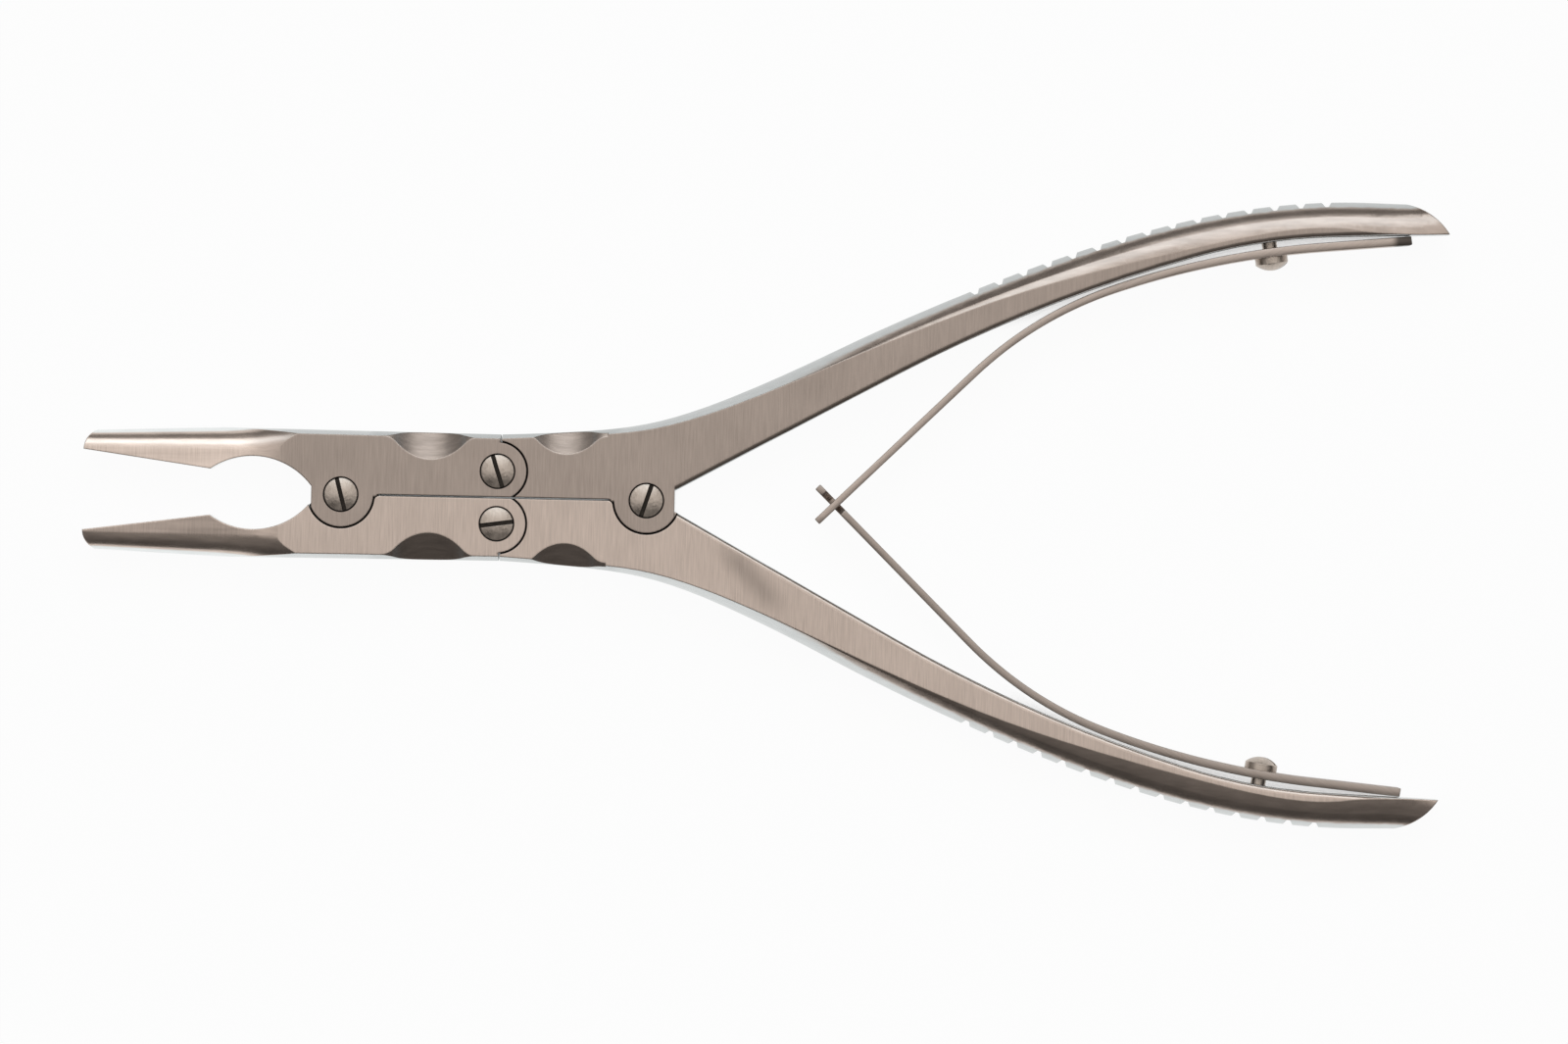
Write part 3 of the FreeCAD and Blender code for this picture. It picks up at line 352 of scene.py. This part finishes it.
def spring_steel(name, side, foot_x):
    """Strip steel with fine lengthwise lines, with painted shade past the foot's place along the
    tool, where the rounded foot turns away from the light.
    """
    steel = settings("rongeur_steel")
    finish = new_finish(name)
    # Painted shade: the lower leaf is drawn darker than the upper one, though both are the same
    # strip steel
    base = shade(steel.spring_colour, 1.0 if side > 0 else LOWER_SPRING_SHADE)
    lines = finish.grain(SPRING_LINE, turn=side * SPRING_LEAN, detail=3.0)
    clouds = finish.grain((SPRING_CLOUD,) * 3, seed=3.0)
    tone = (lines - 0.5) * 0.8 + (clouds - 0.5) * 0.7 + 0.5
    colour = finish.tones(tone, base, SPRING_TONES)
    # Painted shade: the leaf darkens past the foot's place, standing in for the rounded foot
    # turning away
    foot = finish.parts(finish.place())[0].ramp(foot_x - 1.2 * MM, foot_x)
    colour = finish.mix(foot, colour, shade(base, FOOT_SHADE_SHARE))
    roughness = clouds.ramp(0.3, 0.7, 0.32, 0.44)
    return finish.steel(colour, roughness, [(lines, 0.008 * MM)], finish.softened(0.12 * MM, 0.05))


def wear(piece, material):
    """Give a piece one material."""
    piece.data.materials.clear()
    piece.data.materials.append(material)


# Springs

SPRING_STEP = 1.2 * MM
WIDTH_REACHED = 0.72
FOOT_SHADE_LENGTH = 1.6 * MM
SHARP_ANGLE = math.radians(40)
CREASE_ANGLE = math.radians(30)
ROOT_STATION = -8


def walk(x, y, heading, legs):
    """Stations (place, heading, distance) along legs (length or radius, turn in degrees)."""
    stations = [(x, y, math.radians(heading), 0.0)]
    heading = math.radians(heading)
    distance = 0.0
    for reach, turn in legs:
        turn = math.radians(turn)
        length = abs(turn) * reach if turn else reach
        count = max(1, round(length / SPRING_STEP))
        step = length / count
        for _ in range(count):
            x += step * math.cos(heading + turn / count / 2)
            y += step * math.sin(heading + turn / count / 2)
            heading += turn / count
            distance += step
            stations.append((x, y, heading, distance))
    return stations


def spring_path(leaf):
    """Stations of the upper spring, from its tip past the crossing to its foot."""
    start = math.radians(leaf.cross_angle)
    x = leaf.cross_reach - leaf.overrun * math.cos(start)
    y = -leaf.overrun * math.sin(start)
    legs = [(leaf.overrun + leaf.straight, 0), (leaf.bend_radius, -leaf.bend_turn),
            (leaf.sweep_radius, -leaf.sweep_turn), (leaf.tail, 0),
            (leaf.foot_radius, leaf.foot_turn)]
    return walk(x, y, leaf.cross_angle, legs)


def between(low, high, share):
    """Passes smoothly from low to high."""
    share = min(1.0, max(0.0, share))
    return low + (high - low) * share * share * (3 - 2 * share)


def build_spring(side_name):
    """A tapered leaf, with a window at its tip on the upper spring and a neck on the lower."""
    leaf = settings("rongeur_springs")
    side = SIDES[side_name]
    stations = spring_path(leaf)
    total = stations[-1][3]
    rows = len(stations) - 1
    mesh = bpy.data.meshes.new(side_name + "_spring_leaf")
    bm = bmesh.new()
    bmesh.ops.create_grid(bm, x_segments=rows, y_segments=3, size=0.5)
    ups = {}
    for vert in bm.verts:
        row = round((vert.co.x + 0.5) * rows)
        column = round((vert.co.y + 0.5) * 3)
        x, y, heading, distance = stations[row]
        from_crossing = distance - leaf.overrun
        half = between(leaf.tip_width, leaf.root_width, distance / (WIDTH_REACHED * total)) / 2
        inner = leaf.window_width / 2
        if side < 0 and abs(from_crossing) < leaf.neck_length / 2:
            half = leaf.neck_width / 2
        offset = {0: -half, 1: -min(inner, half / 3), 2: min(inner, half / 3), 3: half}[column]
        if side > 0 and abs(from_crossing) < leaf.window_length:
            offset = {0: -half, 1: -inner, 2: inner, 3: half}[column]
        thickness = between(leaf.tip_thickness, leaf.root_thickness, distance / total)
        across = Vector((-math.sin(heading), math.cos(heading), 0.0))
        vert.co = Vector((x, y, MIDDLE_HEIGHT + offset)) - across * thickness / 2
        ups[vert] = (across * thickness, from_crossing)
    if side > 0:
        reach = (leaf.window_length + SPRING_STEP) / 2
        height = leaf.window_width / 2 + 0.01 * MM
        window = [face for face in bm.faces
                  if all(abs(ups[vert][1]) < reach and abs(vert.co.z - MIDDLE_HEIGHT) < height
                         for vert in face.verts)]
        bmesh.ops.delete(bm, geom=window, context="FACES_ONLY")
    lifts = {tuple(vert.co): ups[vert][0] for vert in bm.verts}
    made = bmesh.ops.extrude_face_region(bm, geom=list(bm.faces))
    for vert in [item for item in made["geom"] if isinstance(item, bmesh.types.BMVert)]:
        vert.co += lifts[tuple(vert.co)]
    if side < 0:
        bmesh.ops.scale(bm, vec=(1, -1, 1), verts=bm.verts)
    bmesh.ops.recalc_face_normals(bm, faces=bm.faces)
    edges = [edge for edge in bm.edges
             if edge.is_manifold and edge.calc_face_angle() > SHARP_ANGLE]
    bmesh.ops.bevel(bm, geom=edges, offset=leaf.edge_round, offset_type="OFFSET", segments=2,
                    profile=0.5, affect="EDGES", material=-1)
    for face in bm.faces:
        face.smooth = True
    for edge in bm.edges:
        edge.smooth = edge.calc_face_angle(0.0) < CREASE_ANGLE
    bm.to_mesh(mesh)
    bm.free()
    piece = bpy.data.objects.new(side_name + "_spring_leaf", mesh)
    bpy.context.scene.collection.objects.link(piece)
    # Where the painted shade of the foot begins
    foot_x = stations[-1][0] + (-FOOT_SHADE_LENGTH if side > 0 else 2 * MM)  # past the lower one's end
    wear(piece, spring_steel(side_name + "_spring_steel", side, foot_x))
    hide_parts(side_name + "_spring")
    root, tip = (Vector((stations[row][0], side * stations[row][1], MIDDLE_HEIGHT))
                 for row in (ROOT_STATION, 0))
    bodies = ["upper_handle_body", "lower_handle_body"]
    if side < 0:
        bodies.reverse()
    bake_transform(piece)


# Stage

TABLE_RADIUS = 4.0
SENSOR_WIDTH = 36.0
WARM_ROOM = (1.0, 0.97, 0.945, 1.0)
COOL_WINDOW = (0.90, 0.99, 1.06, 1.0)
WHITE = (1.0, 1.0, 1.0, 1.0)


def area_lamp(name, place, aim, size, size_y, power, colour):
    """A rectangular lamp turned to a place. The camera doesn't see it."""
    lamp = bpy.data.lights.new(name, "AREA")
    lamp.shape = "RECTANGLE"
    lamp.size = size
    lamp.size_y = size_y
    lamp.energy = power
    lamp.color = colour
    holder = bpy.data.objects.new(name, lamp)
    holder.location = place
    holder.rotation_euler = (Vector(aim) - Vector(place)).to_track_quat("-Z", "Y").to_euler()
    holder.visible_camera = False
    bpy.context.scene.collection.objects.link(holder)


def studio_world():
    """A dim grey room, brighter overhead and towards the window side, and white to the camera."""
    stage = settings("rongeur_stage")
    world = bpy.data.worlds.new("studio")
    bpy.context.scene.world = world
    finish = Finish(world)
    across, along, up = finish.parts(finish.node("TexCoord", output="Generated"))  # X, Y, Z
    # The walls of the far side, the ceiling, and a window there that a dark post divides
    far = along.ramp(-0.10, 0.30)
    ceiling = up.ramp(0.35, 0.95) * along.ramp(-0.34, 0.03, 0.14, 1.0)
    post = across.ramp(-0.55, -0.32) * across.fall(-0.26, -0.06) * up.ramp(0.50, 0.60, 0.8, 0.0)
    window = along.ramp(0.43, 0.64) * up.ramp(0.43, 0.63) * (1 - post)
    level = (stage.room_level + far * stage.far_level + ceiling * stage.overhead_level
             + window * stage.window_level)
    tint = finish.mix(window, WARM_ROOM, COOL_WINDOW)
    lit = finish.node("Background", None, {"Color": tint, "Strength": level})
    white = finish.node("Background", None, {"Color": WHITE, "Strength": 1.0})
    seen = finish.node("LightPath", output="Is Camera Ray")
    both = finish.node("MixShader", None, {0: seen, 1: lit, 2: white})
    finish.node("OutputWorld", None, {"Surface": both})


def table_finish():
    """White board that keeps a faint shadow and shows white in the steel."""
    stage = settings("rongeur_stage")
    finish = new_finish("table_white")
    board = finish.node("BsdfDiffuse", None, {"Color": (0.92, 0.92, 0.92, 1.0)})
    glow = finish.node("Emission", None, {"Color": WHITE, "Strength": 1.0})
    path = finish.node("LightPath")
    rays = {socket.name: Wire(finish, socket) for socket in path.socket.node.outputs}
    openness = finish.node("AmbientOcclusion", {"samples": 8}, {"Distance": 3 * MM}, 1)
    bright = rays["Is Camera Ray"] * openness.ramp(0.02, 0.35) * stage.table_glow
    shown = bright.larger(rays["Is Glossy Ray"]).larger(rays["Is Transmission Ray"])
    both = finish.node("MixShader", None, {0: shown, 1: board, 2: glow})
    finish.node("OutputMaterial", None, {"Surface": both})
    return finish.owner


class RONGEUR_PG_steel(bpy.types.PropertyGroup):
    """Colours and grain of the steel."""

    face_colour: bpy.props.FloatVectorProperty(
        name="Face colour", description="Colour of the levers' brushed steel",
        subtype="COLOR", size=4, min=0.0, max=1.0, default=(0.495, 0.415, 0.363, 1.0))
    # Painted reflection: this whiter colour of the steep sides stands in for the white table
    # mirrored in them
    side_sheen_colour: bpy.props.FloatVectorProperty(
        name="Side colour", description="Colour of the levers' polished sides",
        subtype="COLOR", size=4, min=0.0, max=1.0, default=(0.66, 0.68, 0.675, 1.0))
    screw_colour: bpy.props.FloatVectorProperty(
        name="Screw colour", description="Colour of the screws' turned steel",
        subtype="COLOR", size=4, min=0.0, max=1.0, default=(0.53, 0.46, 0.40, 1.0))
    spring_colour: bpy.props.FloatVectorProperty(
        name="Spring colour", description="Colour of the strip steel of the springs",
        subtype="COLOR", size=4, min=0.0, max=1.0, default=(0.505, 0.43, 0.38, 1.0))
    face_roughness: bpy.props.FloatProperty(
        name="Face roughness", description="Roughness of the flat faces",
        default=0.36, min=0.0, max=1.0)
    side_roughness: bpy.props.FloatProperty(
        name="Side roughness", description="Roughness of the rounded sides",
        default=0.24, min=0.0, max=1.0)
    edge_ease: bpy.props.FloatProperty(
        name="Edge ease", description="How far the sharp edges are eased",
        unit="LENGTH", default=0.28 * MM)
    side_lean: bpy.props.FloatProperty(
        name="Side lean", description="How far the polish of the sides leans to the flat faces",
        default=0.15)
    flute_lean: bpy.props.FloatProperty(
        name="Flute lean", description="How much further it leans in the flutes", default=0.40)
    spoon_lean: bpy.props.FloatProperty(
        name="Spoon lean", description="How far the flanks of the spoons lean outwards",
        default=0.12)
    ripple_contrast: bpy.props.FloatProperty(
        name="Ripple contrast", description="How much soft lengthwise ripples change a spoon",
        default=0.8)
    seam_width: bpy.props.FloatProperty(
        name="Seam width", description="Half the width of a dark seam",
        unit="LENGTH", default=0.19 * MM)
    brush_width: bpy.props.FloatProperty(
        name="Brush line width", description="Width of a brush line",
        unit="LENGTH", default=0.12 * MM)
    brush_length: bpy.props.FloatProperty(
        name="Brush line length", description="Length of a brush line",
        unit="LENGTH", default=3.5 * MM)
    brush_depth: bpy.props.FloatProperty(
        name="Brush depth", description="Depth of the brush lines",
        unit="LENGTH", default=0.006 * MM)
    brush_contrast: bpy.props.FloatProperty(
        name="Brush contrast", description="How much the brush lines change the colour",
        default=0.9)
    cloud_size: bpy.props.FloatProperty(
        name="Cloud size", description="Size of the soft uneven patches",
        unit="LENGTH", default=9 * MM)
    cloud_contrast: bpy.props.FloatProperty(
        name="Cloud contrast", description="How much the patches change the colour", default=0.5)


class RONGEUR_PG_springs(bpy.types.PropertyGroup):
    """Sizes of the leaf springs."""

    cross_reach: bpy.props.FloatProperty(
        name="Crossing", description="Handle pivot to where the springs cross",
        unit="LENGTH", default=24.9 * MM)
    cross_angle: bpy.props.FloatProperty(
        name="Crossing angle", description="Spring from the middle line, in degrees", default=44.5)
    overrun: bpy.props.FloatProperty(
        name="Overrun", description="Spring end beyond the crossing",
        unit="LENGTH", default=3.3 * MM)
    straight: bpy.props.FloatProperty(
        name="Straight", description="Straight stretch from the crossing",
        unit="LENGTH", default=25.4 * MM)
    bend_radius: bpy.props.FloatProperty(
        name="Bend", description="Radius of the first bend", unit="LENGTH", default=50 * MM)
    bend_turn: bpy.props.FloatProperty(
        name="Bend turn", description="Turn of the first bend, in degrees", default=24.5)
    sweep_radius: bpy.props.FloatProperty(
        name="Sweep", description="Radius of the long sweep along the handle",
        unit="LENGTH", default=110 * MM)
    sweep_turn: bpy.props.FloatProperty(
        name="Sweep turn", description="Turn of the long sweep, in degrees", default=14.6)
    tail: bpy.props.FloatProperty(
        name="Tail", description="Straight end along the handle", unit="LENGTH", default=11.6 * MM)
    foot_radius: bpy.props.FloatProperty(
        name="Foot", description="Radius of the foot's bend", unit="LENGTH", default=6 * MM)
    foot_turn: bpy.props.FloatProperty(
        name="Foot turn", description="Turn of the foot towards the handle, in degrees",
        default=4.0)
    tip_thickness: bpy.props.FloatProperty(
        name="Tip thickness", description="Leaf thickness at the tip",
        unit="LENGTH", default=0.92 * MM)
    root_thickness: bpy.props.FloatProperty(
        name="Root thickness", description="Leaf thickness at the foot",
        unit="LENGTH", default=1.15 * MM)
    tip_width: bpy.props.FloatProperty(
        name="Tip width", description="Leaf width at the tip", unit="LENGTH", default=4.2 * MM)
    root_width: bpy.props.FloatProperty(
        name="Root width", description="Leaf width at the foot", unit="LENGTH", default=6.0 * MM)
    window_length: bpy.props.FloatProperty(
        name="Window length", description="Window of the upper spring, along it",
        unit="LENGTH", default=2.2 * MM)
    window_width: bpy.props.FloatProperty(
        name="Window width", description="Window of the upper spring, across it",
        unit="LENGTH", default=2.2 * MM)
    neck_length: bpy.props.FloatProperty(
        name="Neck length", description="Neck of the lower spring, along it",
        unit="LENGTH", default=2.4 * MM)
    neck_width: bpy.props.FloatProperty(
        name="Neck width", description="Neck of the lower spring, across it",
        unit="LENGTH", default=1.6 * MM)
    edge_round: bpy.props.FloatProperty(
        name="Edge rounding", description="Rounding of the leaf's edges",
        unit="LENGTH", default=0.12 * MM)


class RONGEUR_PG_stage(bpy.types.PropertyGroup):
    """Camera, table and light."""

    frame_width: bpy.props.FloatProperty(
        name="Frame width", description="Width of the picture at the part",
        unit="LENGTH", default=207.2 * MM)
    camera_height: bpy.props.FloatProperty(
        name="Camera height", description="Camera above the part", unit="LENGTH", default=1.5)
    camera_roll: bpy.props.FloatProperty(
        name="Camera roll", description="Turn of the camera about its view, in degrees",
        default=1.2)
    look_x: bpy.props.FloatProperty(
        name="Look along", description="Middle of the picture, along the part",
        unit="LENGTH", default=18.19 * MM)
    look_y: bpy.props.FloatProperty(
        name="Look across", description="Middle of the picture, across the part",
        unit="LENGTH", default=-2.43 * MM)
    room_level: bpy.props.FloatProperty(
        name="Room", description="Brightness of the room's walls", default=0.10)
    far_level: bpy.props.FloatProperty(
        name="Far walls", description="Brightness added to the walls of the far side",
        default=0.14)
    overhead_level: bpy.props.FloatProperty(
        name="Overhead", description="Brightness added overhead", default=0.87)
    window_level: bpy.props.FloatProperty(
        name="Window side", description="Brightness of the far window", default=1.4)
    table_glow: bpy.props.FloatProperty(
        name="Table glow", description="Share of even white in the table as seen", default=0.95)


class RONGEUR_OT_levers(bpy.types.Operator):
    """Give the jaws and handles their brushed and satin steel"""

    bl_idname = "rongeur.levers"
    bl_label = "Jaws and handles"

    def execute(self, context):
        for name in LEVERS:
            side = SIDES[name.split("_")[0]]
            wear(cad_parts[name], satin_steel(name + "_steel", side))
        return {"FINISHED"}


class RONGEUR_OT_screws(bpy.types.Operator):
    """Give the screws their worn turned steel"""

    bl_idname = "rongeur.screws"
    bl_label = "Screws"

    def execute(self, context):
        for name in PIVOT_SCREWS:
            wear(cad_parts[name], screw_steel(name + "_steel", middle_of(name), PLATE_TOP))
        for name in SPRING_SCREWS:
            wear(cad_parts[name], screw_steel(name + "_steel", middle_of(name), 0.0))
        return {"FINISHED"}


class RONGEUR_OT_springs(bpy.types.Operator):
    """Build the two leaf springs, which bend between the handles"""

    bl_idname = "rongeur.springs"
    bl_label = "Springs"

    def execute(self, context):
        for side_name in SIDES:
            build_spring(side_name)
        return {"FINISHED"}


class RONGEUR_OT_stage(bpy.types.Operator):
    """Set the table, the room, the lamps and the camera"""

    bl_idname = "rongeur.stage"
    bl_label = "Table, light and camera"

    def execute(self, context):
        stage = settings("rongeur_stage")
        context.scene.view_settings.view_transform = "Standard"
        bm = bmesh.new()
        bmesh.ops.create_circle(bm, cap_ends=True, segments=96, radius=TABLE_RADIUS)
        mesh = bpy.data.meshes.new("table")
        bm.to_mesh(mesh)
        bm.free()
        table = bpy.data.objects.new("table", mesh)
        context.scene.collection.objects.link(table)
        wear(table, table_finish())
        studio_world()
        area_lamp("window", place=(0.02, 1.25, 0.85), aim=(0.02, 0.0, 0.0), size=1.2, size_y=0.22,
                  power=0.6, colour=(1.0, 0.99, 0.97))
        lens = bpy.data.cameras.new("camera")
        lens.sensor_width = SENSOR_WIDTH
        lens.sensor_fit = "HORIZONTAL"
        lens.lens = SENSOR_WIDTH * stage.camera_height / stage.frame_width
        lens.clip_start = 0.05
        lens.clip_end = 50.0
        camera = bpy.data.objects.new("camera", lens)
        camera.location = (stage.look_x, stage.look_y, MIDDLE_HEIGHT + stage.camera_height)
        camera.rotation_euler = (0.0, 0.0, math.radians(stage.camera_roll))
        context.scene.collection.objects.link(camera)
        context.scene.camera = camera
        return {"FINISHED"}


class RONGEUR_PT_panel(bpy.types.Panel):
    """Lists the steps that dress the rongeur"""

    bl_label = "Rongeur"
    bl_idname = "RONGEUR_PT_panel"
    bl_space_type = "VIEW_3D"
    bl_region_type = "UI"
    bl_category = "Rongeur"

    def draw(self, context):
        for step in STEPS:
            self.layout.operator(step.bl_idname)


STEPS = (RONGEUR_OT_levers, RONGEUR_OT_screws, RONGEUR_OT_springs, RONGEUR_OT_stage)
GROUPS = {"rongeur_steel": RONGEUR_PG_steel, "rongeur_springs": RONGEUR_PG_springs,
          "rongeur_stage": RONGEUR_PG_stage}
CLASSES = tuple(GROUPS.values()) + STEPS + (RONGEUR_PT_panel,)


def register():
    for cls in CLASSES:
        bpy.utils.register_class(cls)
    for name, group in GROUPS.items():
        setattr(bpy.types.Scene, name, bpy.props.PointerProperty(type=group))


def unregister():
    for name in GROUPS:
        delattr(bpy.types.Scene, name)
    for cls in reversed(CLASSES):
        bpy.utils.unregister_class(cls)


def main():
    register()
    for step in STEPS:
        family, name = step.bl_idname.split(".")
        getattr(getattr(bpy.ops, family), name)()


if __name__ == "__main__":
    main()
